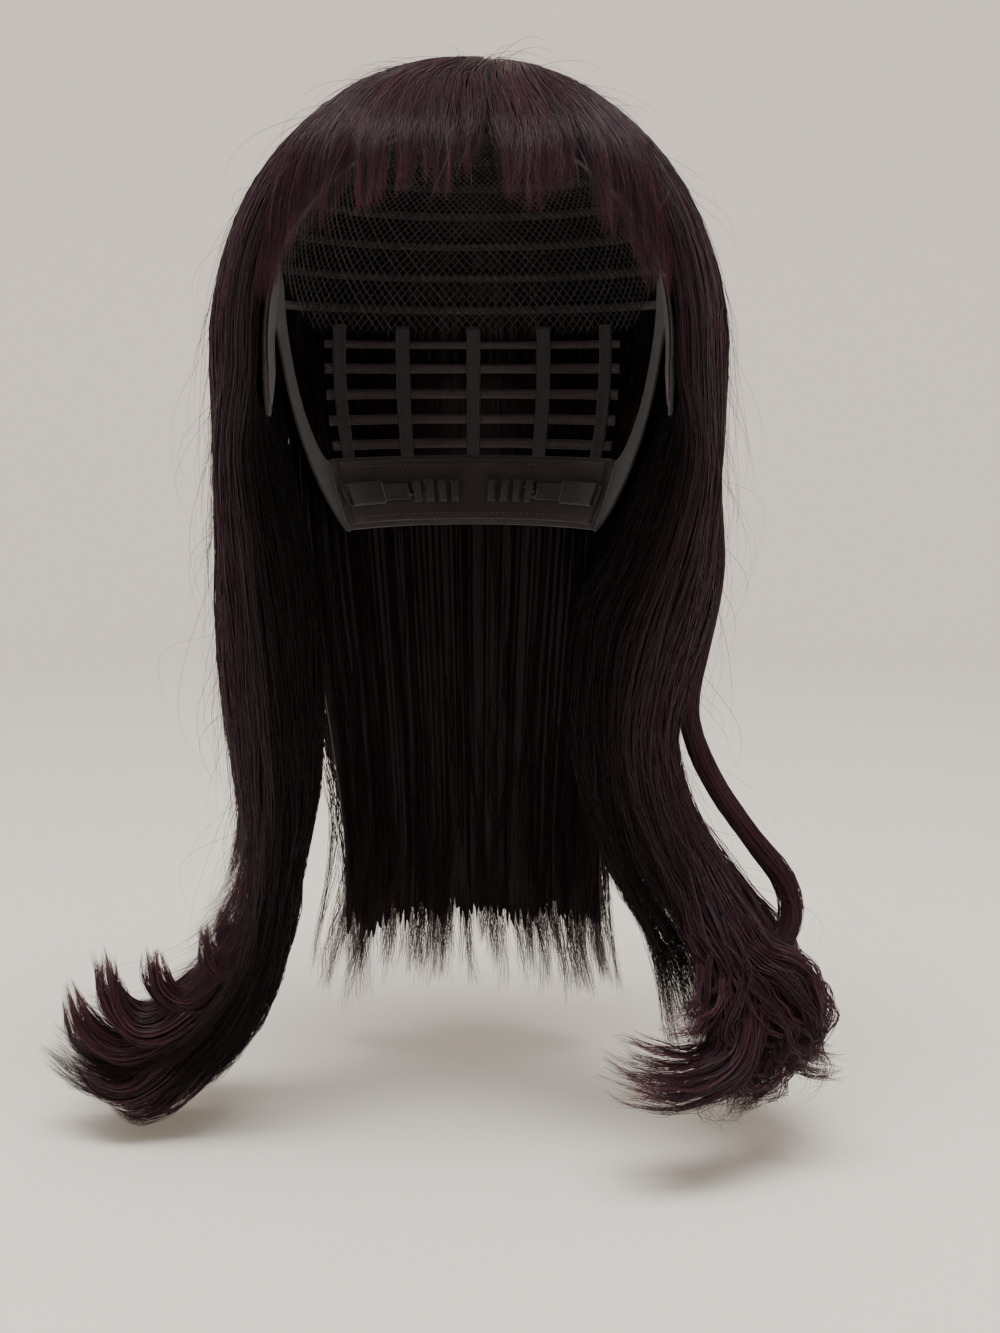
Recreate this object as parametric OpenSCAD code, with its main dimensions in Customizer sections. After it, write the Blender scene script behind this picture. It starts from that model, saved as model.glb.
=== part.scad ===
// Long costume wig: a wefted stretch cap with a fringe, flicked side locks and nape adjusters.
// The origin is the middle of the head at its widest level. The face looks along -Y, and +X is the
// wearer's left. A place on the head is given by u, the turn from the face towards the wearer's left,
// by v, the angle down from the crown, and by its offset from the head's surface.

/* [Head] */
// Width of the head that the cap is made for
head_w = 152; // [148:1:156]
// Length of that head from forehead to back
head_d = 190; // [186:1:194]
// Height of the crown over the widest level
crown_h = 91; // [88:1:93]
// Depth over which the head closes in towards the neck
nape_h = 115; // [112:1:120]

/* [Cap] */
// Thickness of the velvet linings that touch the skin
lining_t = 0.8; // [0.5:0.1:0.8]
// Thickness of the bands, tabs and ribs
band_t = 1.0; // [0.8:0.1:1.0]
// Thickness of a sewn weft track
track_t = 0.8; // [0.6:0.1:0.8]
// Height of a weft track
track_h = 3.2; // [2.5:0.1:4]
// Width of a back rib
rib_w = 6; // [4:0.5:8]

/* [Hair] */
// Width over the hair at the ears
hair_w = 194; // [190:1:196]
// Length over the hair from fringe to back
hair_d = 224; // [220:1:226]
// Height of the hair over the widest level
hair_top = 106; // [104:1:108]
// Depth of the hanging ends below the widest level
hair_drop = 312; // [308:1:314]

/* [Adjusters] */
// Height of the adjuster strap
strap_h = 7; // [6:0.5:8]
// Thickness of the adjuster strap
strap_t = 1; // [0.8:0.1:1.1]
// Number of loops that the hook can be set in, each side
loop_count = 4; // [3:1:4]

/* [Hidden] */
TRACK_ROWS = 8;
NAPE_ROWS = 5;
FRINGE_ROWS = 3;
RIBS = 5;
function numbered(name, count) = [for (k = [1:count]) str(name, "_", k)];

// Layers, as offsets from the head's surface, with air between them
skin_gap = 0.2;
band_in = skin_gap + lining_t + 0.3;
band_out = band_in + band_t;
track_in = band_out + 0.3;
track_out = track_in + track_t;
hair_in = track_out + 1.2;

// Borders on the head
front_half = 72;      // the front band ends this far round, where the ear tabs begin
ear_back = 100;       // the back edge of an ear tab
nape_start = 125.5;   // where the nape band begins
band_drop = 12;       // width of the front band, in degrees of v
net_back_v = 84;      // lower edge of the net at the back
nape_v = [112, 128];  // edges of the nape band
hair_v = 50;          // lower edge of the crown hair
seam = 0.5;           // gap between neighbouring pieces, in degrees
fringe_half = 60;     // the fringe ends this far round
side_back = 127;      // the back edge of the side hair
side_cut_z = -33;     // lower inner edge of the side hair, over the locks
back_cut_z = -58;     // lower inner edge of the back hair, over the curtain
side_rise = 16;       // how much higher the outer edges are cut, so that the hanging hair can swing out
back_rise = 18;
lock_top = -38;       // level of the lock roots
curtain_top = -68;    // level of the curtain's root

// Adjusters slide round an upright axis behind the nape
nape_axis_y = 24.4;   // place of that axis
nape_r = 57.6;        // radius of the nape lining about it
strap_z = -58;        // level of the straps
wall_tilt = 21;       // lean of the nape wall
strap_r = nape_r - 3;
strap_turn = [30, 66]; // strap ends, in degrees from the middle of the back
hook_turn = 8;         // length of the hook, in degrees
hook_grip = 3;         // the part of the hook that is clamped on the strap
casing_turn = [44, 68];
sleeve_h = strap_h + 1.6;
sleeve_t = 2.2;
loop_pitch = 6;
loop_turn = 3.6;

net_col = "#1b1517";
band_col = "#231b1e";
velvet_col = "#2a2024";
track_col = "#1a1113";
hair_col = "#35222a";
steel_col = "#9a9a9e";
elastic_col = "#18181a";

// Surfaces

// A point of the head at u and v, moved out by off
function on_head(u, v, off) = [
    (head_w / 2 + off) * sin(v) * sin(u),
    -(head_d / 2 + off) * sin(v) * cos(u),
    ((v < 90 ? crown_h : nape_h) + off) * cos(v)];

// A point on the outside of the hair, which falls straight below the widest level
function on_hair(u, v) = [
    hair_w / 2 * sin(min(v, 90)) * sin(u),
    -hair_d / 2 * sin(min(v, 90)) * cos(u),
    v < 90 ? hair_top * cos(v) : nape_h * cos(v)];

function mix(a, b, t) = a + (b - a) * t;
function ease(t) = t * t * (3 - 2 * t);
function v_at(z, off) = acos(z / ((z > 0 ? crown_h : nape_h) + off));

// Lower edge of the front band, high over the forehead and low at the temple
function hairline_v(u) = 37 + 37 * pow(abs(u) / front_half, 2.6);
// Lower edge of the net all round: it meets the front band, the ear tabs and the back ribs
function net_v(u) =
    let (side = u > 180 ? 360 - u : u)
    side < front_half ? hairline_v(side) - band_drop
    : side < ear_back ?
        mix(hairline_v(front_half) - band_drop, 72, (side - front_half) / (ear_back - front_half))
    : mix(72, net_back_v, ease(min(1, (side - ear_back) / (nape_start - ear_back))));

// Solids from grids

function quad(a, b, c, d) = [[a, b, c], [a, c, d]];

// A closed skin between two surfaces, each a function of two shares from 0 to 1
module shell(cols, rows, outer, inner) {
    wide = cols + 1;
    n = wide * (rows + 1);
    points = [for (f = [outer, inner], j = [0:rows], i = [0:cols]) f(i / cols, j / rows)];
    face_out = [for (j = [0:rows - 1], i = [0:cols - 1])
        let (a = j * wide + i) each quad(a, a + wide, a + wide + 1, a + 1)];
    face_in = [for (f = face_out) [f[2] + n, f[1] + n, f[0] + n]];
    walls = [
        for (i = [0:cols - 1]) each quad(i, i + 1, i + 1 + n, i + n),
        for (i = [0:cols - 1]) let (a = rows * wide + i) each quad(a + 1, a, a + n, a + 1 + n),
        for (j = [0:rows - 1]) let (a = j * wide) each quad(a + wide, a, a + n, a + wide + n),
        for (j = [0:rows - 1]) let (a = j * wide + cols) each quad(a, a + wide, a + wide + n, a + n)];
    polyhedron(points, concat(face_out, face_in, walls));
}

// A closed dome between two surfaces that each come to a point at the crown
module dome(cols, rows, outer, inner) {
    n = cols * rows + 1;
    points = [for (f = [outer, inner]) each concat(
        [f(0, 0)], [for (j = [1:rows], i = [0:cols - 1]) f(i / cols, j / rows)])];
    face_out = concat(
        [for (i = [0:cols - 1]) [0, 1 + i, 1 + (i + 1) % cols]],
        [for (j = [0:rows - 2], i = [0:cols - 1])
            let (a = 1 + j * cols, k = (i + 1) % cols) each quad(a + i, a + cols + i, a + cols + k, a + k)]);
    face_in = [for (f = face_out) [f[2] + n, f[1] + n, f[0] + n]];
    rim = 1 + (rows - 1) * cols;
    edge = [for (i = [0:cols - 1])
        let (k = (i + 1) % cols) each quad(rim + k, rim + i, rim + i + n, rim + k + n)];
    polyhedron(points, concat(face_out, face_in, edge));
}

// A tapering lock through stations of [x, y, z, half depth, half thickness], with an oval section
module lock(stations, sides = 14) {
    last = len(stations) - 1;
    spot = [for (s = stations) [s[0], s[1], s[2]]];
    rings = [for (k = [0:last])
        let (
            run = spot[min(k + 1, last)] - spot[max(k - 1, 0)],
            along = run / norm(run),
            square = cross(along, [0, 1, 0]),
            thick = square / norm(square),
            deep = cross(thick, along))
        [for (i = [0:sides - 1]) let (a = 360 * i / sides)
            spot[k] + stations[k][3] * cos(a) * deep + stations[k][4] * sin(a) * thick]];
    points = concat([for (r = rings) each r], [spot[0], spot[last]]);
    first = len(points) - 2;
    tail = len(points) - 1;
    base = last * sides;
    body = [for (k = [0:last - 1], i = [0:sides - 1])
        let (a = k * sides, j = (i + 1) % sides) each quad(a + i, a + sides + i, a + sides + j, a + j)];
    ends = [for (i = [0:sides - 1]) let (j = (i + 1) % sides)
        each [[first, i, j], [tail, base + j, base + i]]];
    polyhedron(points, concat(body, ends));
}

module mirrored(side) {
    if (side > 0) children();
    else mirror([1, 0, 0]) children();
}

// The cap

// A patch of cap cloth: u from the first to the second value, v between two functions of u
module cloth(u0, u1, top, bottom, off0, off1, cols, rows) {
    shell(cols, rows,
        function (s, t) let (u = mix(u0, u1, s)) on_head(u, mix(top(u), bottom(u), t), off1),
        function (s, t) let (u = mix(u0, u1, s)) on_head(u, mix(top(u), bottom(u), t), off0));
}

module crown_net() {
    color(net_col) dome(48, 10,
        function (s, t) on_head(360 * s, t * (net_v(360 * s) - seam), band_in + 0.4),
        function (s, t) on_head(360 * s, t * (net_v(360 * s) - seam), band_in));
}

module crown_patch() {
    patch_v = 13;
    color(net_col) dome(28, 3,
        function (s, t) on_head(360 * s, t * patch_v, band_in + 1.4),
        function (s, t) on_head(360 * s, t * patch_v, band_in + 0.9));
}

module front_band() {
    color(band_col) cloth(-front_half, front_half,
        function (u) hairline_v(u) - band_drop, function (u) hairline_v(u), band_in, band_out, 32, 3);
}

module forehead_lining() {
    lining_half = front_half - 8;
    color(velvet_col) cloth(-lining_half, lining_half,
        function (u) hairline_v(u) - band_drop + 2, function (u) hairline_v(u) - 1,
        skin_gap, skin_gap + lining_t, 32, 3);
}

// A rounded tongue that lies in front of the ear
function tab_v(u, inset) =
    let (mid = (front_half + ear_back) / 2, half = (ear_back - front_half) / 2 + 1)
    84 - inset / 2 + (18 - inset) * sqrt(max(0, 1 - pow((u - mid) / half, 2)));

module ear_tab(side) {
    color(band_col) mirrored(side) cloth(front_half + seam, ear_back - seam,
        function (u) net_v(u), function (u) tab_v(u, 0), band_in, band_out, 12, 8);
}

module ear_lining(side) {
    color(velvet_col) mirrored(side) cloth(front_half + 2, ear_back - 2,
        function (u) net_v(u) + 2, function (u) tab_v(u, 1), skin_gap, skin_gap + lining_t / 2, 10, 4);
}

// The bendable stay between the tab and its lining
module ear_stay(side) {
    stay_in = skin_gap + lining_t / 2 + 0.1;
    color(steel_col) mirrored(side) cloth(84.5, 87.5,
        function (u) 76, function (u) 97, stay_in, stay_in + 0.35, 1, 8);
}

module side_elastic(side) {
    color(elastic_col) mirrored(side) cloth(ear_back, nape_start - seam,
        function (u)
            net_v(u) + mix(0, nape_v[0] - net_back_v, ease((u - ear_back) / (nape_start - ear_back))) + seam,
        function (u) mix(84, nape_v[1], ease((u - ear_back) / (nape_start - ear_back))) + seam,
        band_in, band_out, 12, 3);
}

module nape_band() {
    color(band_col) cloth(nape_start, 360 - nape_start,
        function (u) nape_v[0], function (u) nape_v[1], band_in, band_out, 24, 3);
}

module nape_lining() {
    color(velvet_col) cloth(nape_start + 2, 358 - nape_start,
        function (u) nape_v[0] + 1, function (u) nape_v[1] - 1, skin_gap, skin_gap + lining_t, 24, 2);
}

module back_rib(k) {
    mid = mix(nape_start + 9, 351 - nape_start, (k - 1) / (RIBS - 1));
    half = rib_w / 2 / (head_w / 2) * 180 / PI;
    color(elastic_col) cloth(mid - half, mid + half,
        function (u) net_back_v, function (u) nape_v[0] - seam, band_in, band_out, 2, 5);
}

// A sewn weft track of the height track_h, along a line of equal v
module track(u0, u1, v, cols) {
    half = track_h / 2 / crown_h * 180 / PI;
    color(track_col)
        cloth(u0, u1, function (u) v - half, function (u) v + half, track_in, track_out, cols, 1);
}

module crown_track(k) {
    v = mix(20, 79, (k - 1) / (TRACK_ROWS - 1));
    reach = mix(150, 104, (k - 1) / (TRACK_ROWS - 1));
    track(180 - reach, 180 + reach, v, 44);
}

module nape_track(k) track(nape_start + 4, 356 - nape_start, mix(88, 109, (k - 1) / (NAPE_ROWS - 1)), 18);

module fringe_track(k) {
    reach = mix(20, 28, (k - 1) / (FRINGE_ROWS - 1));
    track(-reach, reach, mix(18, 33, (k - 1) / (FRINGE_ROWS - 1)), 12);
}

// The adjusters

// Sweeps an upright outline round the nape axis, over a turn counted from the middle of the back
module round_nape(turn, side) {
    mirrored(side) translate([0, nape_axis_y, strap_z])
        rotate([0, 0, 90 - turn[1]]) rotate_extrude(angle = turn[1] - turn[0], $fn = 180)
            translate([strap_r, 0]) rotate(-wall_tilt) children();
}

module adjuster_strap(side) {
    color(elastic_col) round_nape(strap_turn, side) square([strap_t, strap_h], center = true);
}

module adjuster_hook(side) {
    near = strap_turn[0] - 0.05;
    color(steel_col) union() {
        round_nape([near - hook_grip, near], side) square([1.2, strap_h], center = true);
        round_nape([near - hook_turn, near - hook_grip + 0.2], side)
            square([0.8, strap_h * 0.72], center = true);
    }
}

// An open sleeve outline, which stands on the lining and lets the strap slide through it
module sleeve_outline(wall) {
    difference() {
        square([sleeve_t + 2 * wall, sleeve_h + 2 * wall], center = true);
        square([sleeve_t, sleeve_h], center = true);
    }
}

module strap_casing(side) {
    color(elastic_col) round_nape(casing_turn, side) sleeve_outline(0.5);
}

// The row of loops on its tape
module hook_loops(side) {
    loop_wall = 0.4;
    start = strap_turn[0] - 2;
    color(elastic_col) union() {
        for (k = [1:loop_count])
            let (end = start - (k - 1) * loop_pitch)
            round_nape([end - loop_turn, end], side) sleeve_outline(loop_wall);
        round_nape([start - (loop_count - 1) * loop_pitch - loop_turn, start], side)
            translate([sleeve_t / 2 + loop_wall * 0.6, 0])
            square([loop_wall * 0.8, sleeve_h], center = true);
    }
}

// The hair

module crown_hair() {
    color(hair_col) dome(48, 6,
        function (s, t) on_hair(360 * s, t * hair_v),
        function (s, t) on_head(360 * s, t * hair_v, hair_in));
}

// Lower edge of the fringe, longer at the temples
function fringe_v(u) = 62 + 12 * pow(u / fringe_half, 2);

module fringe_hair() {
    color(hair_col) shell(20, 5,
        function (s, t) let (u = mix(-fringe_half, fringe_half, s), v = mix(hair_v + seam, fringe_v(u), t))
            mix(on_hair(u, v), on_head(u, v, hair_in + 2.5), t * 0.9),
        function (s, t) let (u = mix(-fringe_half, fringe_half, s), v = mix(hair_v + seam, fringe_v(u), t))
            on_head(u, v, hair_in));
}

// The front edge of the side hair slants back from the fringe to the cheek
function side_front(t) = mix(fringe_half + 1, 74, ease(min(1, t * 1.8)));

module side_hair(side) {
    bottom_in = v_at(side_cut_z, hair_in);
    bottom_out = v_at(side_cut_z + side_rise, 0);
    color(hair_col) mirrored(side) shell(14, 8,
        function (s, t) let (u = mix(side_front(t), side_back, s))
            on_hair(u, mix(hair_v + seam, bottom_out, t)),
        function (s, t) let (u = mix(side_front(t), side_back, s))
            on_head(u, mix(hair_v + seam, bottom_in, t), hair_in));
}

module back_hair() {
    bottom_in = v_at(back_cut_z, hair_in);
    bottom_out = v_at(back_cut_z + back_rise, 0);
    color(hair_col) shell(18, 9,
        function (s, t) let (u = mix(side_back + 1, 359 - side_back, s))
            on_hair(u, mix(hair_v + seam, bottom_out, t)),
        function (s, t) let (u = mix(side_back + 1, 359 - side_back, s))
            on_head(u, mix(hair_v + seam, bottom_in, t), hair_in));
}

// A point of the hanging back hair: u runs round the back and t runs down, to ends that flick out
function curtain(u, t, share) =
    let (
        z = mix(curtain_top, 18 - hair_drop, t),
        flick = 14 * pow(max(0, t - 0.72) / 0.28, 2),
        wide = mix(hair_w / 2, 84, ease(t)),
        deep = mix(hair_d / 2, 104, ease(t)),
        thin = mix(26, 16, ease(t)),
        grow = mix(-thin, 0, share) + flick)
    [(wide + grow) * sin(u), -(deep + grow) * cos(u), z];

function curtain_u(s, t) = 180 + mix(-1, 1, s) * mix(50, 38, ease(t));

module back_curtain() {
    color(hair_col) shell(16, 11,
        function (s, t) curtain(curtain_u(s, t), t, 1),
        function (s, t) curtain(curtain_u(s, t), t, 0.42));
}

// The shorter inner hair of the lowest wefts
module nape_hair() {
    reach = 0.8;
    narrow = 8;
    color(hair_col) shell(14, 8,
        function (s, t) curtain(mix(curtain_u(s, t), 180, narrow / 50), t * reach, 0.36),
        function (s, t) curtain(mix(curtain_u(s, t), 180, narrow / 50), t * reach, 0.06));
}

module lock_right() {
    flip = -hair_drop;
    color(hair_col) lock([
        [-84, 6, lock_top, 44, 12.5], [-83.6, 6, lock_top - 6, 44, 13.5], [-79.5, 4, -88, 42, 18.5],
        [-77.5, 2, -128, 36, 20.5], [-75, 2, -168, 32, 19.5], [-79.5, 2, -198, 30, 14.5],
        [-87, 4, -227, 30, 18], [-101, 6, -254, 32, 26], [-122, 8, flip + 39, 34, 31],
        [-143, 8, flip + 37, 30, 28], [-160, 8, flip + 38, 22, 18], [-171, 8, flip + 42, 12, 8]]);
}

module lock_left_main() {
    color(hair_col) lock([
        [83, 6, lock_top, 44, 13], [82.6, 6, lock_top - 6, 44, 14.5], [74.5, 4, -81, 42, 22],
        [66, 2, -106, 38, 25.5], [61, 0, -134, 35, 22.5], [60.5, -3, -158, 32, 20],
        [72, -6, -191, 30, 20.5], [85, -8, -213, 28, 22], [95, -9, -234, 25, 23],
        [105, -10, -258, 24, 23.5], [109, -10, -278, 18, 17], [110, -10, -287, 9, 8]]);
}

module lock_left_wave() {
    color(hair_col) lock([
        [86.5, -4, -138, 8, 2.5], [88, -5, -154, 9, 3], [96, -7, -170, 9, 4], [109, -9, -186, 9, 5],
        [120, -11, -202, 9, 5.5], [125.5, -13, -214, 8, 4.5], [127, -14, -223, 5, 3]]);
}

module lock_left_flick() {
    color(hair_col) lock([
        [104, -46, -270, 10, 9], [92, -52, -271, 12, 12], [79, -56, -270, 13, 13],
        [66, -58, -265, 11, 11], [54, -60, -258, 7, 6], [47, -61, -255, 3, 2.5]], sides = 10);
}

module lock_left_tail() {
    color(hair_col) lock([
        [131, -14, -277, 8, 7], [138, -13, -281, 8, 7], [144, -12, -283, 6, 5], [148, -12, -283, 3, 3]],
        sides = 10);
}

// The nodes

crown_net();
crown_patch();
front_band();
forehead_lining();
nape_band();
nape_lining();
ear_tab(1);  // ear_tab_left
ear_tab(-1);  // ear_tab_right
ear_lining(1);  // ear_lining_left
ear_lining(-1);  // ear_lining_right
ear_stay(1);  // ear_stay_left
ear_stay(-1);  // ear_stay_right
side_elastic(1);  // side_elastic_left
side_elastic(-1);  // side_elastic_right
for (k = [1:RIBS]) back_rib(k);
for (k = [1:TRACK_ROWS]) crown_track(k);
for (k = [1:NAPE_ROWS]) nape_track(k);
for (k = [1:FRINGE_ROWS]) fringe_track(k);
strap_casing(1);  // strap_casing_left
strap_casing(-1);  // strap_casing_right
hook_loops(1);  // hook_loops_left
hook_loops(-1);  // hook_loops_right
adjuster_strap(1);  // adjuster_strap_left
adjuster_strap(-1);  // adjuster_strap_right
adjuster_hook(1);  // adjuster_hook_left
adjuster_hook(-1);  // adjuster_hook_right
crown_hair();
fringe_hair();
side_hair(1);  // side_hair_left
side_hair(-1);  // side_hair_right
back_hair();
lock_left_main();
lock_left_wave();
lock_left_flick();
lock_left_tail();
lock_right();
back_curtain();
nape_hair();
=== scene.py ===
import math
import bpy
import numpy as np
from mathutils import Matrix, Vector


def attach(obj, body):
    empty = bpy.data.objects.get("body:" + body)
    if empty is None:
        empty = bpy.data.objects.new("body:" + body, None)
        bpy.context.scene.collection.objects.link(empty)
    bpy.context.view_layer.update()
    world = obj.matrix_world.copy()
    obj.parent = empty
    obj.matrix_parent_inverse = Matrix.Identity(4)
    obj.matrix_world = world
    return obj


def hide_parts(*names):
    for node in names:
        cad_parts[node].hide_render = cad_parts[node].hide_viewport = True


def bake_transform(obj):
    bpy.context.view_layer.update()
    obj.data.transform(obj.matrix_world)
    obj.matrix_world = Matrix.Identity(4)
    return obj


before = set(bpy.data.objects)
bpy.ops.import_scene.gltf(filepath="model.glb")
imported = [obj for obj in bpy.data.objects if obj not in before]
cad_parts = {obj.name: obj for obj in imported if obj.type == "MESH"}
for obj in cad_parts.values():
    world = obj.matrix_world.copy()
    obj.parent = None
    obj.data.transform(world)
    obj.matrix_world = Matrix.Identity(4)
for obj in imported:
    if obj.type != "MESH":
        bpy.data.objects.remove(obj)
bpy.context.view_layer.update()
rng = np.random.default_rng(11)
mm = 0.001

# the head form and the outside of the hair, as half width, half depth and height over the widest level
head = {"half": (76, 95, 91), "nape": 115}
hair = {"half": (97, 112, 106), "whorl": 34, "whorlEnd": 30}


# places on the head and in the hair
def easeIn(t):
    t = np.clip(t, 0, 1)
    return t * t * (3 - 2 * t)


def mix(a, b, t):
    return a + (b - a) * t


def onShell(u, v, half, drop):
    # u turns from the face towards the wearer's left, v is the angle down from the crown
    u, v, wide = np.broadcast_arrays(np.radians(u), np.radians(v), half[0])
    low = np.where(np.cos(v) > 0, half[2], drop)
    return np.stack([wide * np.sin(v) * np.sin(u), -half[1] * np.sin(v) * np.cos(u), low * np.cos(v)], -1)


def onHead(u, v, off=0.0):
    half = [h + off for h in head["half"]]
    return onShell(u, v, half, head["nape"] + off)


def inHair(u, v, share):
    # share 0 is the head's surface and 1 the outside of the hair
    u, v, share = np.broadcast_arrays(*[np.asarray(x, float) for x in (u, v, share)])
    low = np.minimum(v, 90)
    outer = onShell(u, low, hair["half"], 0)
    outer[..., 2] = np.where(v > 90, -(v - 90) * 1.7, outer[..., 2])
    inner = onShell(u, low, head["half"], 0)
    inner[..., 2] = outer[..., 2] * np.where(v > 90, 1, head["half"][2] / hair["half"][2])
    return inner + (outer - inner) * share[..., None]


def whorl(u, v):
    # near the crown the strands turn round it
    return u + hair["whorl"] * (1 - easeIn(v / hair["whorlEnd"]))


def rise(root, v):
    # how far a strand has come up from the cap to its layer
    start = mix(0.85, 0.15, np.clip((root - 2) / 14, 0, 1))
    return mix(start, 1.0, easeIn((v - root) / 13))


def growth(turn, root, layer, low):
    # strands turn in a whorl round the crown, and rise to their layer on the way down to one level
    turn, root, layer = turn[:, None], root[:, None], layer[:, None]
    v = root + (low - root) * np.linspace(0, 1, 9)[None] ** 1.15
    return inHair(whorl(turn, v), v, mix(0.3, 1.0, layer) * rise(root, v))


# strands
def smoothPath(keys, count):
    # a curve through the keys of each strand, resampled to evenly spaced points
    n, m, _ = keys.shape
    steps = 6
    k = np.concatenate([2 * keys[:, :1] - keys[:, 1:2], keys, 2 * keys[:, -1:] - keys[:, -2:-1]], 1)
    t = (np.arange(steps) / steps)[None, None, :, None]
    a, b, c, d = (k[:, i:i + m - 1, None, :] for i in range(4))
    bend, twist = 2 * a - 5 * b + 4 * c - d, 3 * b - a - 3 * c + d
    dense = 0.5 * (2 * b + (c - a) * t + bend * t ** 2 + twist * t ** 3)
    dense = np.concatenate([dense.reshape(n, -1, 3), keys[:, -1:]], 1)
    run = np.linalg.norm(np.diff(dense, axis=1), axis=2)
    along = np.concatenate([np.zeros((n, 1)), np.cumsum(run, 1)], 1)
    want = np.linspace(0, 1, count)
    out = np.empty((n, count, 3))
    for i in range(n):
        for j in range(3):
            out[i, :, j] = np.interp(want * along[i, -1], along[i], dense[i, :, j])
    return out


def lengthOf(paths):
    return np.linalg.norm(np.diff(paths, axis=1), axis=2).sum(1)


def cutShort(paths, keep, start=0.0, points=None):
    # keeps each strand from one share of its length to another
    n, count, _ = paths.shape
    start = np.broadcast_to(start, n)[:, None]
    at = (start + (keep[:, None] - start) * np.linspace(0, 1, points or count)[None]) * (count - 1)
    low = np.clip(at.astype(int), 0, count - 2)
    part = (at - low)[..., None]
    rows = np.arange(n)[:, None]
    return paths[rows, low] * (1 - part) + paths[rows, low + 1] * part


def clump(paths, group, pull, power=2.0):
    # draws the strands of each group together towards their tips
    count = paths.shape[1]
    groups = int(group.max()) + 1
    size = np.bincount(group, minlength=groups).clip(1)
    middle = np.zeros((groups, count, 3))
    np.add.at(middle, group, paths)
    middle /= size[:, None, None]
    t = np.linspace(0, 1, count)[None, :, None] ** power
    return paths + (middle[group] - paths) * t * np.reshape(pull, (-1, 1, 1))


def waver(paths, group, size, wave, power=1.0):
    # a slow sideways wave shared by each group, and a smaller one for each strand
    n, count, _ = paths.shape
    groups = int(group.max()) + 1
    length = lengthOf(paths)[:, None, None] * np.linspace(0, 1, count)[None, :, None]
    grow = np.linspace(0, 1, count)[None, :, None] ** power
    shift = np.zeros_like(paths)
    for share, who, total in ((1.0, group, groups), (0.35, np.arange(n), n)):
        for turn in (1.0, 2.3):
            phase = rng.uniform(0, 2 * np.pi, (total, 3))[who][:, None]
            rate = rng.uniform(0.7, 1.3, (total, 1))[who][:, None]
            shift += share / turn * np.sin(length / wave * 2 * np.pi * rate * turn + phase)
    return paths + shift * size * grow


def buildStrands(name, paths, thick, tone=None, taper=3.0, depth=0.0, sides=3):
    # tapered tubes; the colour attribute holds root to tip, strand tone and the share of painted shade for
    # depth in the hair
    n, count, _ = paths.shape
    run = np.gradient(paths, axis=1)
    run /= np.linalg.norm(run, axis=2, keepdims=True) + 1e-9
    first = np.empty_like(run)
    side = np.cross(run[:, 0], rng.normal(0, 1, (n, 3)))
    for k in range(count):
        side = side - (side * run[:, k]).sum(1, keepdims=True) * run[:, k]
        side /= np.linalg.norm(side, axis=1, keepdims=True) + 1e-9
        first[:, k] = side
    second = np.cross(run, first)
    t = np.linspace(0, 1, count)[None, :]
    radius = np.reshape(thick, (-1, 1)) * (1 - t ** taper * 0.88)
    angle = 2 * np.pi * np.arange(sides) / sides
    angle = angle[None, None, :, None]
    ring = first[:, :, None] * np.cos(angle) + second[:, :, None] * np.sin(angle)
    points = (paths[:, :, None] + ring * radius[..., None, None]).reshape(-1, 3) * mm
    i, j, k = np.meshgrid(np.arange(n), np.arange(count - 1), np.arange(sides), indexing="ij")
    base = (i * count + j) * sides
    around = (k + 1) % sides
    faces = np.stack([base + k, base + around, base + sides + around, base + sides + k], -1).reshape(-1, 4)
    rings = (np.arange(n) * count * sides)[:, None]
    last = rings + (count - 1) * sides
    caps = np.concatenate([rings + np.arange(sides)[::-1], last + np.arange(sides)])
    if tone is None:
        tone = rng.random(n)
    shade = np.zeros((n, count, sides, 4), np.float32)
    shade[..., 0] = t[:, :, None]
    shade[..., 1] = np.reshape(tone, (-1, 1, 1))
    shade[..., 2] = np.broadcast_to(np.reshape(depth, (-1, 1, 1)), (n, count, sides))
    shade[..., 3] = 1
    return meshOf(name, points, [(faces, 4), (caps, sides)], shade.reshape(-1, 4))


def meshOf(name, points, blocks, shade=None, smooth=True):
    # a mesh from arrays; blocks are (faces, corners) pairs
    me = bpy.data.meshes.new(name)
    loops = np.concatenate([f.ravel() for f, _ in blocks])
    sizes = np.concatenate([np.full(len(f), c) for f, c in blocks])
    starts = np.concatenate([[0], np.cumsum(sizes)[:-1]])
    me.vertices.add(len(points))
    me.vertices.foreach_set("co", np.asarray(points, np.float32).ravel())
    me.loops.add(len(loops))
    me.loops.foreach_set("vertex_index", loops.astype(np.int32))
    me.polygons.add(len(sizes))
    me.polygons.foreach_set("loop_start", starts.astype(np.int32))
    me.polygons.foreach_set("loop_total", sizes.astype(np.int32))
    me.polygons.foreach_set("use_smooth", np.full(len(sizes), smooth))
    if shade is not None:
        layer = me.color_attributes.new("strand", "FLOAT_COLOR", "POINT")
        layer.data.foreach_set("color", shade.astype(np.float32).ravel())
    me.update(calc_edges=True)
    obj = bpy.data.objects.new(name, me)
    bpy.context.scene.collection.objects.link(obj)
    return obj


# materials
def newMaterial(name):
    mat = bpy.data.materials.new(name)
    mat.use_nodes = True
    nodes = mat.node_tree.nodes
    shader = nodes["Principled BSDF"]
    return mat, nodes, mat.node_tree.links, shader


def addNode(nodes, kind, **values):
    node = nodes.new(kind)
    for key, value in values.items():
        if key in node.inputs:
            node.inputs[key].default_value = value
        else:
            setattr(node, key, value)
    return node


def feed(links, node, values):
    # gives a node's inputs their numbers, their colours or the outputs of other nodes
    for key, value in values.items():
        if isinstance(value, bpy.types.NodeSocket):
            links.new(value, node.inputs[key])
        else:
            node.inputs[key].default_value = value


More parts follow.
